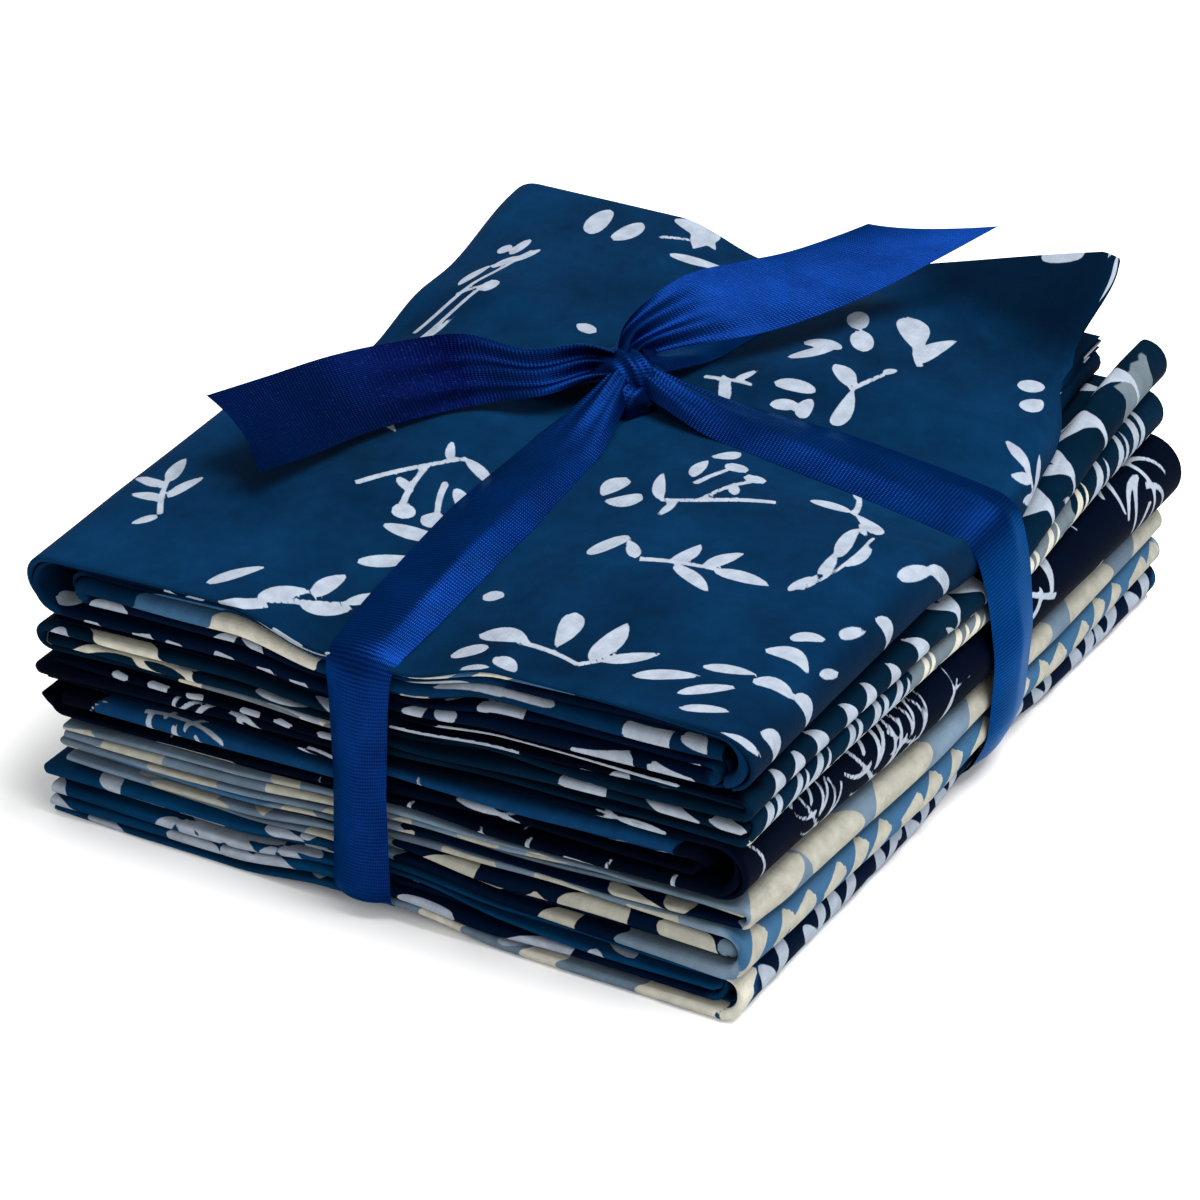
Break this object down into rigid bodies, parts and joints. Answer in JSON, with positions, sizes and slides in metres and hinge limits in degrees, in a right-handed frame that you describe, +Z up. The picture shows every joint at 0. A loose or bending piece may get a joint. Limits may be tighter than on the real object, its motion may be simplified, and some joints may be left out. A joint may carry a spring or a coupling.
{
  "type": "fat quarter bundle",
  "caption": "Stack of flat-folded printed cotton fat quarters in blues, greys and cream, tied crosswise with a satin ribbon whose two cut ends lie over the top.",
  "frame": {"origin": "centre of the bundle's outer box, on the surface it rests on", "axes": "+Z up, +Y from the edge that shows the folded layers towards the back edge, +X towards the side that shows the wide folded spines"},
  "size_m": [0.1215, 0.1384, 0.06],
  "materials": {
    "indigo_sprig_cotton": "plain-weave printed cotton, mottled indigo ground with pale lavender leaf sprigs",
    "navy_petal_cotton": "plain-weave printed cotton, dark teal-navy ground with pale petals and double crescents",
    "midnight_line_cotton": "plain-weave printed cotton, near-black navy ground with fine pale outlined leaves",
    "grey_blue_leaf_cotton": "plain-weave printed cotton, grey-blue ground with large cream leaves",
    "navy_bloom_cotton": "plain-weave printed cotton, navy ground with large pale petals",
    "royal_blue_satin": "satin ribbon with woven edges"
  },
  "bodies": {
    "root": {"fat_quarter_1": "indigo_sprig_cotton", "fat_quarter_2": "navy_petal_cotton", "fat_quarter_3": "midnight_line_cotton", "fat_quarter_4": "grey_blue_leaf_cotton", "fat_quarter_5": "navy_bloom_cotton", "ribbon_tie": "royal_blue_satin"}
  },
  "joints": []
}
